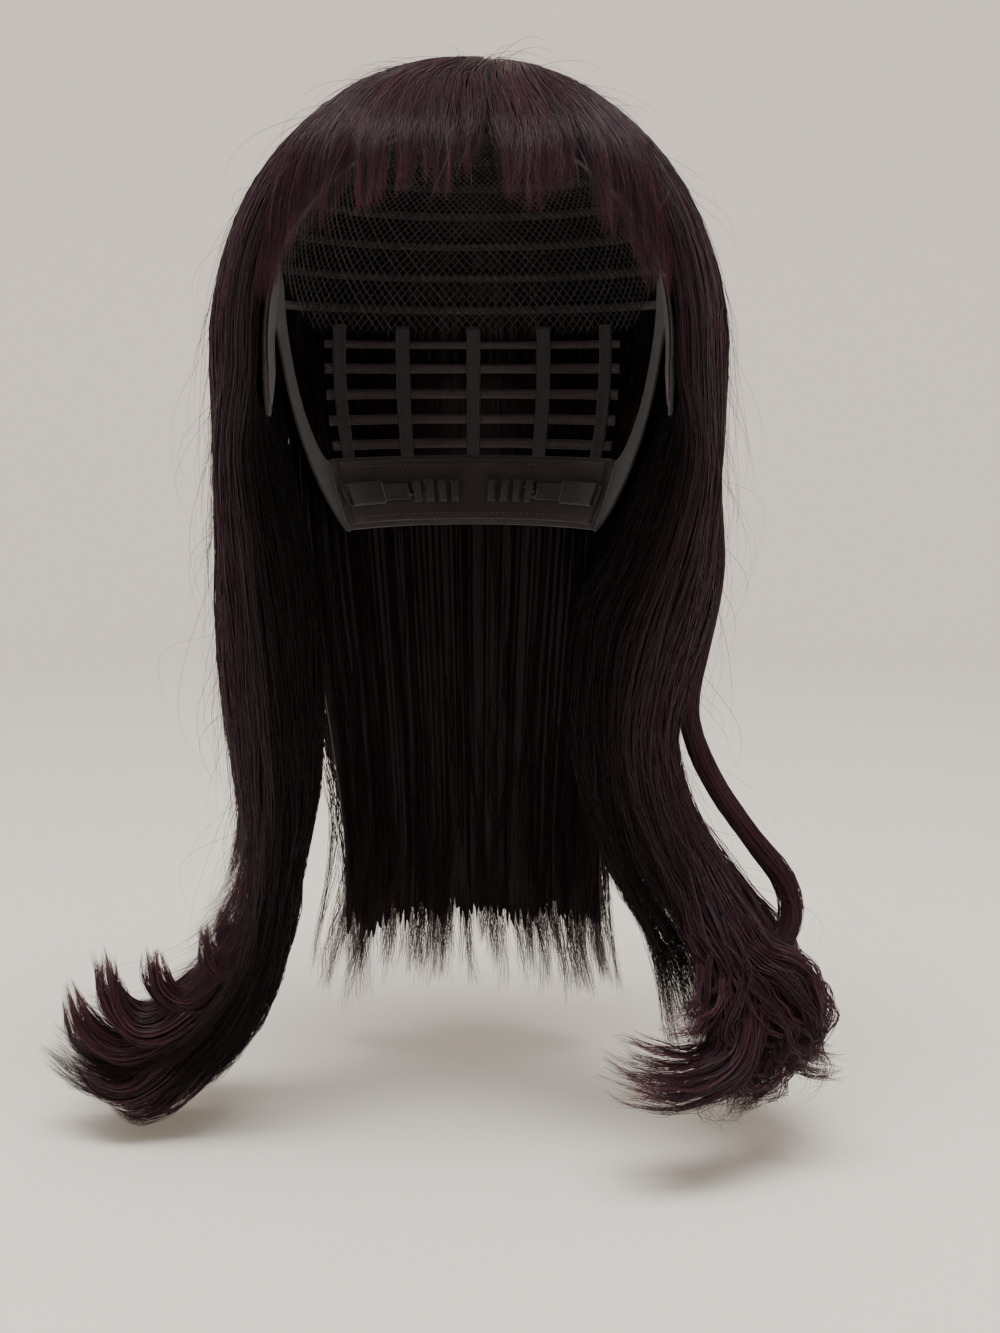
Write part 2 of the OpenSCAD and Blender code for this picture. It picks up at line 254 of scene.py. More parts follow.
def noiseIn(nodes, links, scale, detail):
    # uneven values that stay on the piece
    noise = addNode(nodes, "ShaderNodeTexNoise", Scale=scale, Detail=detail)
    feed(links, noise, {"Vector": nodes.new("ShaderNodeTexCoord").outputs["Object"]})
    return noise.outputs["Fac"]


def mathIn(nodes, links, operation, *values):
    node = addNode(nodes, "ShaderNodeMath", operation=operation)
    feed(links, node, dict(enumerate(values)))
    return node.outputs[0]


def mixIn(nodes, links, share, first, second, kind="MIX"):
    node = addNode(nodes, "ShaderNodeMix", data_type="RGBA", blend_type=kind)
    feed(links, node, {0: share, 6: first, 7: second})
    return node.outputs[2]


def bumpIn(nodes, links, shader, height, strength, relief):
    bump = addNode(nodes, "ShaderNodeBump", Strength=strength, Distance=relief)
    feed(links, bump, {"Height": height})
    feed(links, shader, {"Normal": bump.outputs["Normal"]})


def roughIn(nodes, links, shader, source, low, high):
    span = nodes.new("ShaderNodeMapRange")
    feed(links, span, {"Value": source, "To Min": low, "To Max": high})
    feed(links, shader, {"Roughness": span.outputs["Result"]})


def shadeOf(colour, gain):
    return tuple(c * gain for c in colour)


def ramp(nodes, links, source, stops):
    node = nodes.new("ShaderNodeValToRGB")
    feed(links, node, {"Fac": source})
    line = node.color_ramp.elements
    line[0].position, line[0].color = stops[0][0], (*stops[0][1], 1)
    line[1].position, line[1].color = stops[-1][0], (*stops[-1][1], 1)
    for place, colour in stops[1:-1]:
        line.new(place).color = (*colour, 1)
    return node.outputs["Color"]


hairTints = {
    "root": (0.020, 0.0085, 0.0125), "length": (0.027, 0.0066, 0.0125), "tip": (0.062, 0.019, 0.027),
    "tones": [
        (0.0, (0.30, 0.28, 0.34)), (0.5, (0.85, 0.85, 0.9)), (0.85, (1.7, 1.45, 1.45)),
        (1.0, (2.9, 2.5, 2.3))],
    # deep is the colour of painted shade for strands inside the hair, and the second shine is for the
    # darker shaded copy
    "deep": (0.0016, 0.0008, 0.0011), "roughness": 0.31, "shine": 0.24, "shadedShine": 0.10, "sheen": 0.02}


def hairMaterial(name, shine, gain=1.0):
    # fibre colour from root to tip, with a tone for each strand, and painted shade that darkens it towards
    # the inside of the hair
    tint = hairTints
    mat, nodes, links, shader = newMaterial(name)
    strand = addNode(nodes, "ShaderNodeAttribute", attribute_name="strand")
    parts = nodes.new("ShaderNodeSeparateColor")
    feed(links, parts, {"Color": strand.outputs["Color"]})
    places = ((0.0, "root"), (0.45, "length"), (0.85, "length"), (1.0, "tip"))
    body = ramp(nodes, links, parts.outputs["Red"], [(at, shadeOf(tint[key], gain)) for at, key in places])
    tone = ramp(nodes, links, parts.outputs["Green"], tint["tones"])
    product = mixIn(nodes, links, 1, body, tone, "MULTIPLY")
    # painted shade: the attribute's blue mixes in the deep colour
    deep = mixIn(nodes, links, parts.outputs["Blue"], product, (*tint["deep"], 1))
    noise = addNode(nodes, "ShaderNodeTexNoise", Scale=90.0, Detail=3.0)
    roughIn(nodes, links, shader, noise.outputs["Fac"], tint["roughness"] - 0.06, tint["roughness"] + 0.10)
    feed(links, shader, {
        "Base Color": deep, "Specular IOR Level": shine,
        "Sheen Weight": tint["sheen"], "Sheen Roughness": 0.5})
    return mat


hairFinish = hairMaterial("plumFibre", hairTints["shine"])
# a darker copy with less shine: painted shade for the hair inside the mass
shadedHairFinish = hairMaterial("plumFibreShaded", hairTints["shadedShine"], 0.7)


def finishHair(obj, body, nodes, blend=None, inner=False):
    obj.data.materials.append(shadedHairFinish if inner else hairFinish)
    if blend:
        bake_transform(obj)
    else:
        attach(obj, body)
    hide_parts(*nodes)
    print("hair:", obj.name, len(obj.data.polygons), "faces")


# stations of x, y, z, half depth and half thickness, from the ear down
rightLock = [
    (-84, 6, -40, 46, 13), (-79.5, 4, -88, 42, 18.5), (-77.5, 2, -128, 36, 19), (-76, 2, -168, 32, 16),
    (-78, 2, -198, 30, 12), (-85, 4, -227, 30, 13.5), (-99, 6, -252, 31, 20), (-119, 8, -270, 32, 27),
    (-137, 8, -275, 30, 26), (-151, 8, -273, 26, 22), (-162, 8, -266, 20, 18)]
leftLock = [
    (83, 6, -40, 46, 13), (74.5, 4, -81, 42, 22), (66, 2, -106, 38, 25.5), (61, 0, -134, 35, 22.5),
    (61, -3, -158, 32, 20), (72, -6, -191, 30, 20), (85, -8, -213, 28, 21), (96, -9, -234, 26, 22),
    (105, -10, -258, 25, 23), (111, -12, -276, 22, 19), (116, -14, -290, 18, 14)]


def directions(spots):
    # the directions along a line of spots and across it
    run = np.gradient(spots, axis=0)
    run /= np.linalg.norm(run, axis=1, keepdims=True)
    across = np.cross(run, [0, 1, 0])
    return run, across / np.linalg.norm(across, axis=1, keepdims=True)


def lockPoints(stations, deep, thick):
    # points down a lock for each strand's place in its section, deep and thick from -1 to 1
    s = np.array(stations, float)
    spot = s[:, :3]
    run, across = directions(spot)
    outward = across * np.sign(spot[:, :1]) * s[:, 4:5]
    back = np.cross(across, run) * s[:, 3:4]
    points = spot[None] + deep[:, None, None] * back[None] + thick[:, None, None] * outward[None]
    wider = np.interp(spot[:, 2], [-230, -170, -60, -30], [0, 17, 17, 0])  # fuller behind the ear
    points[..., 1] += np.clip(deep - 0.4, 0, 1)[:, None] * wider[None]
    return points


def sectionPlaces(n, rim=0.35):
    # places in a round section, most of them near its rim
    angle = rng.uniform(0, 2 * np.pi, n)
    reach = 1 - rim * rng.random(n) ** 1.5
    return reach * np.cos(angle), reach * np.sin(angle)


def sidePaths(side, stations, deep, thick, root, count=34):
    # from the crown over the ear and down a lock
    turn = mix(60.0, 126.0, (deep + 1) / 2)
    full = np.sqrt(np.clip(1 - 0.85 * deep ** 2, 0.05, 1))
    layer = np.clip(0.5 + 0.5 * thick / full, 0, 1)
    over = growth(side * turn, root, layer, 96)
    return smoothPath(np.concatenate([over, lockPoints(stations, deep, thick)], 1), count)


def offTheCap(paths, gap=4.0):
    # points lower than the widest level that lie inside the cap's cloth move straight out from it
    wide, deep = head["half"][0] + gap, head["half"][1] + gap
    level = np.clip(paths[..., 2] / (head["nape"] + gap), -1, 0)
    reach = np.sqrt((paths[..., 0] / wide) ** 2 + (paths[..., 1] / deep) ** 2)
    push = np.maximum(np.sqrt(1 - level ** 2) / np.maximum(reach, 0.01), 1)
    near = (paths[..., 2] < 12) & (paths[..., 2] > -80)
    moved = paths.copy()
    moved[..., :2] *= np.where(near, push, 1)[..., None]
    return moved


def backPaths(turn, layer, root, drop, count=28):
    # from the crown over the back and down to ends that flick out; drop is a share of the full length
    over = growth(180 + turn, root, layer, 92)
    t = np.linspace(0, 1, 7)[None] * drop[:, None]
    z = mix(-28.0, -294.0, t)
    narrow = mix(1.0, 0.76, easeIn(t / 0.75))
    wide = mix(97.0, 84.0, easeIn(t))
    deep = mix(112.0, 104.0, easeIn(t))
    thin = mix(24.0, 15.0, easeIn(t))
    grow = -thin * (1 - layer[:, None]) + 14 * (np.clip(t - 0.72, 0, 1) / 0.28) ** 2
    u = np.radians(180 + turn[:, None] * narrow)
    hang = np.stack([(wide + grow) * np.sin(u), -(deep + grow) * np.cos(u), z], -1)
    return offTheCap(smoothPath(np.concatenate([over, hang], 1), count))


# borders of the cap as angles down from the crown, for a turn u from the face
border = {
    "frontEnd": 72, "earBack": 100, "napeStart": 125.5, "bandDrop": 12, "earTop": 72, "netBack": 84,
    "nape": (112, 128)}
layers = {"lining": (0.2, 1.0), "band": (1.3, 2.3), "track": (2.6, 3.4)}


def hairline(u):
    return 37 + 37 * np.abs(np.asarray(u, float) / border["frontEnd"]) ** 2.6


def netEdge(u):
    # the net's lower border: over the forehead, over the ear, and down to the nape
    front, ear = border["frontEnd"], border["earBack"]
    side = np.abs((np.asarray(u, float) + 180) % 360 - 180)
    brow = hairline(np.minimum(side, front)) - border["bandDrop"]
    above = mix(hairline(front) - border["bandDrop"], border["earTop"], (side - front) / (ear - front))
    fall = easeIn((side - ear) / (border["napeStart"] - ear))
    behind = mix(border["earTop"], border["netBack"], fall)
    return np.where(side < front, brow, np.where(side < ear, above, behind))


def tabEdge(u, inset=0.0):
    # the rounded lower edge of an ear tab
    middle = (border["frontEnd"] + border["earBack"]) / 2
    half = (border["earBack"] - border["frontEnd"]) / 2 + 1
    bow = np.sqrt(np.clip(1 - ((np.asarray(u, float) - middle) / half) ** 2, 0, 1))
    return 84 - inset / 2 + (18 - inset) * bow


def gridFaces(rows, cols, span):
    # four-sided faces between rows of points; a span of all the columns joins the last to the first
    j, i = np.meshgrid(np.arange(rows - 1) * cols, np.arange(span), indexing="ij")
    a, b = (j + i).ravel(), (j + (i + 1) % cols).ravel()
    return np.stack([a, a + cols, b + cols, b], -1)


def gridShell(name, outer, inner, closed=False, shade=None):
    # a closed skin between two grids of points; closed joins the last column to the first
    rows, cols, _ = outer.shape
    points = np.concatenate([outer.reshape(-1, 3), inner.reshape(-1, 3)]) * mm
    n = rows * cols
    span = cols if closed else cols - 1
    top = gridFaces(rows, cols, span)
    under = top[:, ::-1] + n
    i = np.arange(span)
    k = (i + 1) % cols
    low = (rows - 1) * cols
    walls = [np.stack([i, k, k + n, i + n], -1), np.stack([low + k, low + i, low + i + n, low + k + n], -1)]
    if not closed:
        j = np.arange(rows - 1) * cols
        e = j + cols - 1
        walls.append(np.stack([j + cols, j, j + n, j + cols + n], -1))
        walls.append(np.stack([e, e + cols, e + cols + n, e + n], -1))
    return meshOf(name, points, [(np.concatenate([top, under, *walls]), 4)], shade)


def clothShell(name, outer, inner, closed=False):
    # a closed skin with a map in metres over it, so that a weave has its real scale
    def flat(grid):
        across = np.linalg.norm(np.diff(grid, axis=1), axis=2)
        down = np.linalg.norm(np.diff(grid, axis=0), axis=2)
        x = np.concatenate([np.zeros((len(grid), 1)), np.cumsum(across, 1)], 1)
        x -= x[:, -1:] / 2
        y = np.concatenate([np.zeros((1, grid.shape[1])), np.cumsum(down, 0)], 0)
        return np.stack([x, y], -1).reshape(-1, 2) * mm
    obj = gridShell(name, outer, inner, closed)
    place = np.concatenate([flat(outer), flat(inner)])
    loops = np.empty(len(obj.data.loops), np.int32)
    obj.data.loops.foreach_get("vertex_index", loops)
    layer = obj.data.uv_layers.new(name="weave")
    layer.data.foreach_set("uv", place[loops].astype(np.float32).ravel())
    return obj


def clothPatch(name, reach, top, bottom, off, cols, rows, hem=0.0, ridge=0.0, side=1):
    # cap cloth between two borders; a hem is thicker along the edges and a ridge runs the long way
    u = np.linspace(*reach, cols)[None]
    t = np.linspace(0, 1, rows)[:, None]
    v = mix(top(u), bottom(u), t)
    edge = np.clip(1 - np.minimum(t, 1 - t) * rows / 2.2, 0, 1)
    proud = hem * edge + ridge * (np.arange(rows) % 2)[:, None] + 0 * u
    outer, inner = onHead(u, v, off[1] + proud), onHead(u, v, off[0] - proud)
    if side < 0:
        outer, inner = outer[:, ::-1] * [-1, 1, 1], inner[:, ::-1] * [-1, 1, 1]
    return clothShell(name, outer, inner)


def rodsAlong(name, paths, radius, sides=4):
    # thin round threads or wires along paths of points
    return buildStrands(name, paths, radius, taper=60.0, sides=sides)


def clothMaterial(name, colour, thread, rough=0.75, sheen=0.3, relief=0.00012, fuzz=0.0):
    # a woven cloth from two crossing waves in the weave map, with uneven dye and a painted highlight on the
    # thread tops
    mat, nodes, links, shader = newMaterial(name)
    where = addNode(nodes, "ShaderNodeUVMap", uv_map="weave")
    split = nodes.new("ShaderNodeSeparateXYZ")
    feed(links, split, {"Vector": where.outputs["UV"]})
    waves = []
    for axis in ("X", "Y"):
        rate = mathIn(nodes, links, "MULTIPLY", split.outputs[axis], math.pi / thread)
        waves.append(mathIn(nodes, links, "ABSOLUTE", mathIn(nodes, links, "SINE", rate)))
    height = mathIn(nodes, links, "MULTIPLY", *waves)
    uneven = noiseIn(nodes, links, 160.0, 5.0)
    dye = ramp(nodes, links, uneven, [(0.3, shadeOf(colour, 0.7)), (0.7, shadeOf(colour, 1.25))])
    # painted highlight: the thread tops are mixed towards a lighter colour
    threadTopHighlight = mixIn(nodes, links, height, dye, (*[min(1, c * 1.7 + 0.004) for c in colour], 1))
    blend = mathIn(nodes, links, "MULTIPLY_ADD", uneven, 0.5 + fuzz, height)
    bumpIn(nodes, links, shader, blend, 0.8, relief)
    roughIn(nodes, links, shader, uneven, rough - 0.1, min(1, rough + 0.12))
    feed(links, shader, {"Base Color": threadTopHighlight, "Sheen Weight": sheen, "Sheen Roughness": 0.4})
    return mat


def metalMaterial(name, colour, worn):
    # lacquered steel with the lacquer rubbed off in places
    mat, nodes, links, shader = newMaterial(name)
    rub = noiseIn(nodes, links, 700.0, 6.0)
    tint = ramp(nodes, links, rub, [(0.45, colour), (0.66, worn)])
    rough = ramp(nodes, links, rub, [(0.4, (0.28, 0.28, 0.28)), (0.7, (0.5, 0.5, 0.5))])
    feed(links, shader, {"Base Color": tint, "Roughness": rough, "Metallic": 0.6})
    return mat


def threadMaterial(name, colour, twist=2600.0):
    # sewing thread with its twist and an uneven tone
    mat, nodes, links, shader = newMaterial(name)
    ply = noiseIn(nodes, links, twist, 2.0)
    tint = ramp(nodes, links, ply, [(0.3, shadeOf(colour, 0.6)), (0.7, shadeOf(colour, 1.5))])
    bumpIn(nodes, links, shader, ply, 0.6, 0.0001)
    feed(links, shader, {"Base Color": tint, "Roughness": 0.6, "Sheen Weight": 0.25})
    return mat


capFinish = {
    "net": threadMaterial("netThread", (0.020, 0.016, 0.017)),
    "skin": clothMaterial("skinTopLace", (0.075, 0.055, 0.046), 0.0009, rough=0.6, sheen=0.15),
    "band": clothMaterial("bandTwill", (0.030, 0.024, 0.026), 0.0008),
    "velvet": clothMaterial("velvetPile", (0.026, 0.018, 0.021), 0.0005, rough=0.9, sheen=0.35, fuzz=0.9),
    "elastic": clothMaterial("ribbedElastic", (0.020, 0.019, 0.020), 0.0010, rough=0.6, relief=0.0002),
    "track": threadMaterial("weftThread", (0.030, 0.018, 0.021)),
    "stitch": threadMaterial("stitchThread", (0.060, 0.050, 0.052)),
    "steel": metalMaterial("blackLacquer", (0.012, 0.012, 0.013), (0.16, 0.155, 0.15))}


def dress(obj, finish, nodes, body="cap"):
    # gives a piece its finish and body, and hides its CAD nodes
    obj.data.materials.append(capFinish[finish])
    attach(obj, body)
    if nodes:
        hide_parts(*nodes)
    return obj


def stitchRow(name, reach, level, off, step=2.6, length=1.7, side=1):
    # a row of short stitches along a line of the cap
    u = np.linspace(*reach, 400)
    line = onHead(u, level(u), off)
    along = np.concatenate([[0], np.cumsum(np.linalg.norm(np.diff(line, axis=0), axis=1))])
    count = int(along[-1] / step)
    starts = (np.arange(count) + 0.5) * along[-1] / count - length / 2
    t = starts[:, None] + np.linspace(0, 1, 5)[None] * length
    path = np.stack([np.interp(t, along, line[:, k]) for k in range(3)], -1)
    sink = np.sin(np.linspace(0, 1, 5) * math.pi)[None, :, None]
    out = path / np.linalg.norm(path, axis=2, keepdims=True)
    path = path + out * (sink - 0.6) * 0.3 * (1 if off > 1 else -1)
    if side < 0:
        path = path * [-1, 1, 1]
    obj = rodsAlong(name, path, np.full(count, 0.2))
    return dress(obj, "stitch", [])


def piping(name, path, radius, side=1):
    # the rolled edge that binds a cloth, or a wire
    if side < 0:
        path = path * [-1, 1, 1]
    return rodsAlong(name, path[None], np.array([radius]), 8)


def makeNet():
    # the stretch net, two families of threads that cross in diamonds
    look = {"lines": 132, "thread": 0.30, "top": 12.5}
    n = look["lines"]
    turnAt = lambda v: np.degrees(np.log(np.tan(np.radians(v / 2))))
    paths = []
    for lean in (1, -1):
        start = np.arange(n) * 360 / n + (0 if lean > 0 else 180 / n)
        end = np.full(n, 70.0)
        for _ in range(6):
            end = 0.4 * end + 0.6 * (netEdge(start + lean * turnAt(end)) + 1.2)
        v = mix(look["top"], end[:, None], np.linspace(0, 1, 26)[None])
        paths.append(onHead(start[:, None] + lean * turnAt(v), v, 1.55 + 0.22 * lean))
    paths = np.concatenate(paths)
    obj = rodsAlong("crownNet", paths, look["thread"] * rng.uniform(0.9, 1.1, len(paths)))
    dress(obj, "net", ["crown_net"])


def makeCrownPatch():
    u = np.linspace(0, 360, 73)[None, :-1]
    v = np.linspace(0.4, 13, 9)[:, None]
    patch = clothShell("crownPatch", onHead(u, v, 2.6), onHead(u, v, 2.1), closed=True)
    dress(patch, "skin", ["crown_patch"])
    knots = 260
    spot = onHead(rng.uniform(0, 360, knots), 12 * np.sqrt(rng.random(knots)), 2.7)
    lean = rng.normal(0, 0.35, (knots, 1, 3)) * [1, 1, 0.3]
    path = spot[:, None] + np.linspace(-1, 1, 3)[None, :, None] * lean
    dress(rodsAlong("crownKnots", path, np.full(knots, 0.22)), "track", [])


def makeBand(name, node, seam, reach, top, low, lines, grid):
    # a band or its soft lining, with a row of stitches along each line
    finish, layer, hem, off = ("band", "band", 0.22, 2.5)
    if "lining" in node:
        finish, layer, hem, off = ("velvet", "lining", 0.12, 0.05)
    band = clothPatch(name, reach, top, low, layers[layer], *grid, hem=hem)
    inside = (reach[0] + 1, reach[1] - 1)
    rows = [stitchRow(f"{seam}Stitches_{k + 1}", inside, line, off)
        for k, line in enumerate(lines)]
    dress(band, finish, [node])


def makeBands():
    drop, front, start = border["bandDrop"], border["frontEnd"], border["napeStart"]
    top, low = border["nape"]
    over = lambda d: lambda u: hairline(u) - d
    level = lambda v: lambda u: v + 0 * u
    makeBand("frontBand", "front_band", "front", (-front, front), over(drop), hairline,
        (over(1.6), over(10.6)), (120, 11))
    makeBand("foreheadLining", "forehead_lining", "lining", (8 - front, front - 8), over(drop - 2), over(1),
        (over(1.9),), (100, 9))
    makeBand("napeBand", "nape_band", "nape", (start, 360 - start), level(top), level(low),
        (level(top + 1.6), level(low - 1.6)), (90, 11))
    makeBand("napeLining", "nape_lining", "napeLining", (start + 2, 358 - start), level(top + 1),
        level(low - 1), (level(top + 2.2), level(low - 2.2)), (80, 11))


def makeEarTab(side, word):
    front, back = border["frontEnd"] + 0.5, border["earBack"] - 0.5
    tab = clothPatch(f"earTab{word}", (front, back), netEdge, tabEdge, layers["band"], 28, 18, side=side)
    u = np.linspace(front, back, 44)
    edge = dress(piping(f"earTabEdge{word}", onHead(u, tabEdge(u), 1.8), 0.75, side), "band", [])
    row = stitchRow(f"earTabStitches{word}", (front + 2, back - 2), lambda u: tabEdge(u) - 2.4, 2.5,
        side=side)
    low = word.lower()
    dress(tab, "band", [f"ear_tab_{low}"])
    lining = clothPatch(f"earLining{word}", (front + 1.5, back - 1.5), lambda u: netEdge(u) + 2,
        lambda u: tabEdge(u, 1), (0.2, 0.6), 24, 14, side=side)
    dress(lining, "velvet", [f"ear_lining_{low}"])
    wire = onHead(np.full(16, 86.0), np.linspace(76, 97, 16), 0.95)
    dress(piping(f"earStay{word}", wire, 0.35, side), "steel", [f"ear_stay_{low}"])


def makeElastics(side, word):
    back, start = border["earBack"], border["napeStart"]
    fall = lambda u: easeIn((u - back) / (start - back))
    top = lambda u: netEdge(u) + mix(0, border["nape"][0] - border["netBack"], fall(u)) + 0.5
    low = lambda u: mix(84, border["nape"][1], fall(u)) + 0.5
    strip = clothPatch(f"sideElastic{word}", (back, start - 0.5), top, low, layers["band"],
        34, 17, ridge=0.16, side=side)
    dress(strip, "elastic", [f"side_elastic_{word.lower()}"])


def makeRibs():
    start, half = border["napeStart"], 2.26
    for k in range(5):
        middle = mix(start + 9, 351 - start, k / 4)
        u = np.linspace(middle - half, middle + half, 13)
        v = np.linspace(border["netBack"] - 1, border["nape"][0] + 0.5, 24)[:, None]
        ridge = 0.2 * (np.arange(13) % 2)[None, :, None] / 90
        outer = onHead(u[None], v, layers["band"][1]) * (1 + ridge)
        inner = onHead(u[None], v, layers["band"][0]) * (1 - ridge)
        rib = clothShell(f"backRib_{k + 1}", outer, inner)
        dress(rib, "elastic", [f"back_rib_{k + 1}"])


def makeTrack(kind, k, u0, u1, v):
    # a weft: the folded hair ends in a narrow strip, held by two lines of zigzag thread
    name = f"{kind}Track_{k + 1}"
    low, high = layers["track"]
    cols = int((u1 - u0) * 1.5) + 12
    u = np.linspace(u0, u1, cols)[None]
    t = np.linspace(-1, 1, 4)[:, None]
    fold = 0.14 * (np.arange(cols) % 2)[None, :, None] / 90
    outer = onHead(u, v + t, high - 0.15) * (1 + fold)
    inner = onHead(u, v + t, low + 0.15) * (1 - fold)
    dress(gridShell(name, outer, inner), "track", [f"{kind}_track_{k + 1}"])
    turns = np.linspace(u0 + 0.5, u1 - 0.5, cols * 2)
    zigzag = v + 0.55 * (1 - 2 * (np.arange(cols * 2) % 2))
    for row, off in enumerate((low - 0.05, high + 0.05)):
        path = onHead(turns, zigzag, off)[None]
        thread = rodsAlong(f"{name}_thread_{row + 1}", path, np.array([0.16]), 3)
        dress(thread, "stitch", [])


def makeTracks():
    for k in range(8):
        reach = mix(150, 104, k / 7)
        makeTrack("crown", k, 180 - reach, 180 + reach, mix(20, 79, k / 7))
    for k in range(5):
        makeTrack("nape", k, border["napeStart"] + 4, 356 - border["napeStart"], mix(88, 109, k / 4))
    for k in range(3):
        reach = mix(20, 28, k / 2)
        makeTrack("fringe", k, -reach, reach, mix(18, 33, k / 2))


# the straps round the nape, in mm and in degrees from the middle of the back
adjuster = {
    "axisY": 24.4, "radius": 54.6, "level": -58, "lean": 21, "height": 7,
    "strap": (30, 66), "casing": (44, 68), "loops": 4, "loopStep": 6, "loopWide": 3.6}


def roundNape(turn, out, up, side):
    # a place at a turn from the middle of the back, moved out from the neck and up the wall
    lean = math.radians(adjuster["lean"])
    turn = np.radians(turn)
    r = adjuster["radius"] + out * math.cos(lean) + up * math.sin(lean)
    z = adjuster["level"] - out * math.sin(lean) + up * math.cos(lean)
    return np.stack([side * r * np.sin(turn), adjuster["axisY"] + r * np.cos(turn), z + 0 * turn], -1)


def napeBelt(name, turns, height, thick, side, steps, ribs=0.0):
    # a flat strap round the nape, with ribs that run along it
    turn = np.linspace(*turns, steps)[None]
    up = np.linspace(height / 2, -height / 2, 15)[:, None]
    half = thick / 2 + ribs * (np.arange(15) % 2)[:, None]
    outer, inner = (roundNape(turn, off, up, side) for off in (half, -half))
    if side > 0:
        outer, inner = outer[:, ::-1], inner[:, ::-1]
    return clothShell(name, outer, inner)


def sleeve(name, turns, side, wall, steps):
    # a flat tube that a strap passes through
    tall, deep, corner = adjuster["height"] / 2 + 0.8, 1.1, 0.5
    angle = np.radians(np.arange(4)[:, None] * 90 + np.arange(4)[None] * 30).ravel()
    farOut = np.repeat([1, -1, -1, 1], 4) * (deep - corner)
    farUp = np.repeat([1, 1, -1, -1], 4) * (tall - corner)
    grids = []
    for size in (corner + wall, corner):
        out, up = farOut + size * np.cos(angle), farUp + size * np.sin(angle)
        grids.append(np.stack([roundNape(t, out, up, side) for t in np.linspace(*turns, steps)]))
    outer, inner = grids
    if side > 0:
        outer, inner = outer[::-1], inner[::-1]
    return clothShell(name, outer, inner, closed=True)


def makeAdjuster(side, word):
    low = word.lower()
    body = f"{low}_adjuster"
    tall, first = adjuster["height"], adjuster["strap"][0] - 2
    strap = napeBelt(f"adjusterStrap{word}", adjuster["strap"], tall, 0.9, side, 60, 0.1)
    dress(strap, "elastic", [f"adjuster_strap_{low}"], body=body)
    casing = sleeve(f"strapCasing{word}", adjuster["casing"], side, 0.5, 30)
    dress(casing, "elastic", [f"strap_casing_{low}"])
    for k in range(adjuster["loops"]):
        end = first - k * adjuster["loopStep"]
        loop = sleeve(f"hookLoop{word}_{k + 1}", (end - adjuster["loopWide"], end), side, 0.4, 6)
        dress(loop, "elastic", [f"hook_loops_{low}"])
    clip = napeBelt(f"hookClip{word}", (27.0, 29.9), tall - 0.4, 1.1, side, 8)
    dress(clip, "steel", [f"adjuster_hook_{low}"], body=body)
    bend = 22.6 - 0.5 * np.sin(np.linspace(0, math.pi, 7))
    turn = np.concatenate([np.linspace(27.4, 22.6, 10), bend, np.linspace(22.6, 26.2, 8)])
    out = np.concatenate([np.full(10, -0.25), np.linspace(-0.25, 0.45, 7), np.full(8, 0.45)])
    for k, up in enumerate((-1.7, 1.7)):
        wire = piping(f"hookWire{word}_{k + 1}", roundNape(turn, out, up, side), 0.28)
        dress(wire, "steel", [], body=body)


makeNet()
makeCrownPatch()
makeBands()
makeRibs()
makeTracks()
for side, word in ((1, "Left"), (-1, "Right")):
    makeEarTab(side, word)
    makeElastics(side, word)
    makeAdjuster(side, word)
print("cap made")


# the hair under the strands, made dark with painted shade
underLook = {"ridge": 0.07, "reach": 0.80, "hollow": 0.45}


def roughRow(count, step):
    # uneven values from -1 to 1 that change from one place to the next and more slowly over each step
    places = np.arange(0, count + step, step)
    slow = np.interp(np.arange(count), places, rng.uniform(-1, 1, len(places)))
    return 0.5 * slow + 0.5 * rng.uniform(-1, 1, count)


def underHair(name, outer, inner, nodes, blend=None, closed=False):
    # a ridged core that fills the hair behind the strands, coloured mostly with painted shade and the
    # darker shaded hair finish
    count = 2 * outer[..., 0].size
    # painted shade: 0.8 of the deep colour over the whole core
    shade = np.full((count, 4), (0.3, 0, 0.8, 1))
    shade[:, 1] = rng.random(count)
    finishHair(gridShell(name, outer, inner, closed, shade), "cap", nodes, blend, inner=True)


def lockCore(name, side, stations, keep, nodes, blend, cols=96, rows=70):
    # the core of the hair over an ear and of the lock below it, narrowing at its end
    angle = np.arange(cols) * 2 * np.pi / cols
    grids = []
    for reach in (underLook["reach"], underLook["hollow"]):
        size = reach * (1 + underLook["ridge"] * roughRow(cols, 6))
        deep, thick = side * size * np.sin(angle), size * np.cos(angle)
        paths = sidePaths(side, stations, deep, thick, np.full(cols, 16.0), rows)
        paths = cutShort(paths, np.full(cols, keep))
        middle = paths.mean(0, keepdims=True)
        narrow = 1 - 0.8 * easeIn((np.linspace(0, 1, rows) - 0.78) / 0.22)
        grids.append((middle + (paths - middle) * narrow[None, :, None]).transpose(1, 0, 2))
    underHair(name, *grids, nodes, blend, closed=True)


backNodes = ["back_hair", "back_curtain", "nape_hair"]
backHang = {"from": "cap", "to": "back_curtain", "start": (0, 0.09, -0.045), "end": (0, 0.09, -0.105)}


def backCore():
    cols, rows = 170, 50
    turn = np.linspace(-60, 60, cols)
    drop = 0.83 + 0.05 * roughRow(cols, 9)
    edge = 1 - np.clip((np.abs(turn) - 50) / 8, 0, 1)
    grids = []
    for layer in (0.72, 0.10):
        depth = 0.42 + (layer - 0.42) * (0.3 + 0.7 * edge) + underLook["ridge"] * roughRow(cols, 5)
        paths = backPaths(turn, depth, np.full(cols, 14.0), drop, rows)
        grids.append(paths.transpose(1, 0, 2))
    middle = (grids[0] + grids[1]) / 2
    narrow = 1 - 0.9 * easeIn((np.linspace(0, 1, rows) - 0.62) / 0.38)[:, None, None]
    grids = [offTheCap(middle + (g - middle) * narrow) for g in grids]
    underHair("backUnderHair", *grids, backNodes, backHang)


